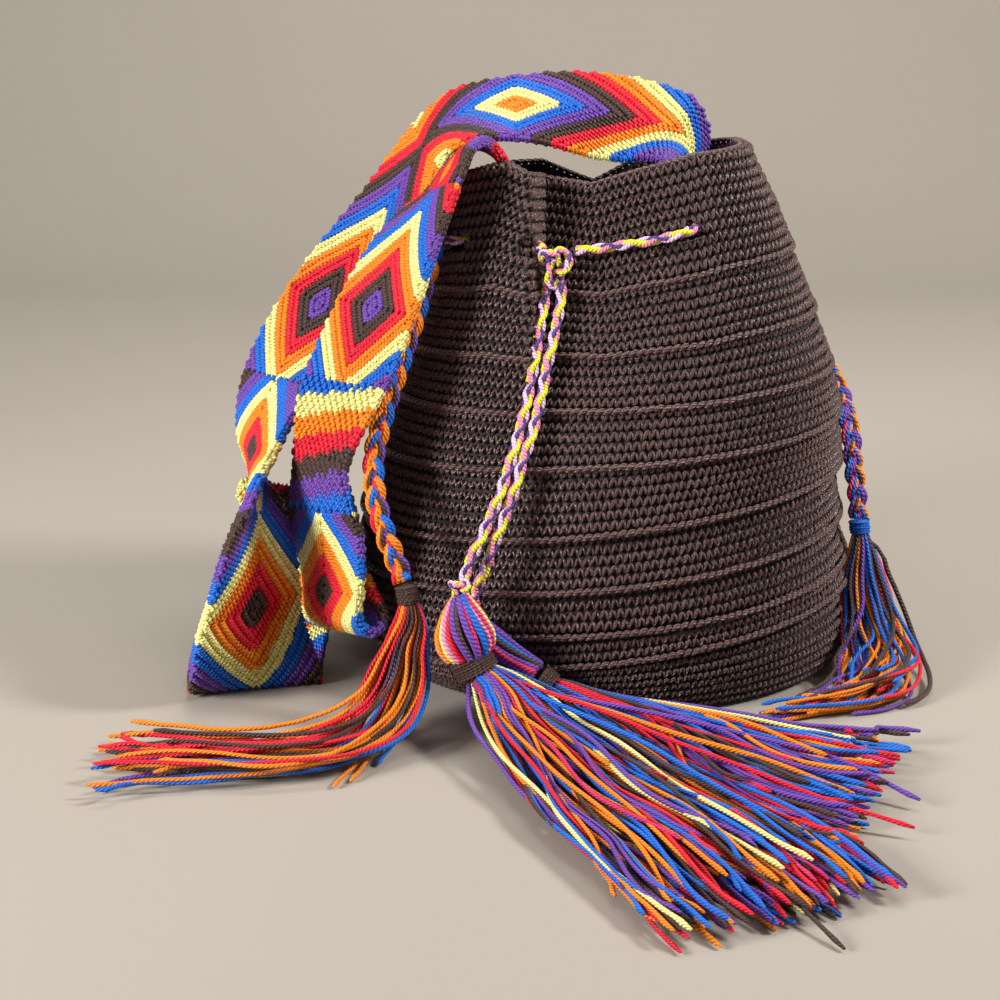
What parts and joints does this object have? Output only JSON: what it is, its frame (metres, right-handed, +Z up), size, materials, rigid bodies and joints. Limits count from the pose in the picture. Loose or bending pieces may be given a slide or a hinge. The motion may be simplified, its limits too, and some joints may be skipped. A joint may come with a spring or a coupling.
{
  "type": "crocheted bucket bag with woven strap",
  "caption": "Dark crocheted bucket shoulder bag with a drawstring, a long woven strap with diamonds in bright colours, and yarn tassels at its front and sides.",
  "frame": {"origin": "centre of the bag's flat base, on the surface it stands on", "axes": "+Z up out of the mouth, -Y towards the front where the drawstring hangs, +X to the right seen from the front"},
  "size_m": [0.464, 0.5574, 0.3463],
  "materials": {
    "bag_yarn": "plied acrylic yarn, tight single crochet",
    "yarn_brown": "plied acrylic yarn",
    "yarn_orange": "plied acrylic yarn",
    "yarn_red": "plied acrylic yarn",
    "yarn_crimson": "plied acrylic yarn",
    "yarn_blue": "plied acrylic yarn",
    "yarn_yellow": "plied acrylic yarn",
    "yarn_purple": "plied acrylic yarn",
    "cord_pink": "thin plied yarn, braided",
    "cord_lime": "thin plied yarn, braided",
    "cord_lilac": "thin plied yarn, braided",
    "cord_navy": "thin plied yarn, braided"
  },
  "bodies": {
    "root": {"bag_body": "bag_yarn", "shoulder_strap": "yarn_orange", "drawstring_ring": "cord_pink", "drawstring_knot": "cord_pink", "drawstring_left_end": "cord_pink", "drawstring_right_end": "cord_pink", "front_tassel_head": "yarn_purple", "front_tassel_binding": "yarn_brown", "front_tassel_fringe": "yarn_red", "rear_tassel_head": "yarn_purple", "rear_tassel_binding": "yarn_brown", "rear_tassel_fringe": "yarn_blue", "left_braid": "yarn_orange", "left_braid_binding": "yarn_brown", "left_fringe": "yarn_orange", "right_braid": "yarn_purple", "right_braid_binding": "yarn_blue", "right_fringe": "yarn_orange", "right_loose_yarn": "yarn_brown"}
  },
  "joints": []
}
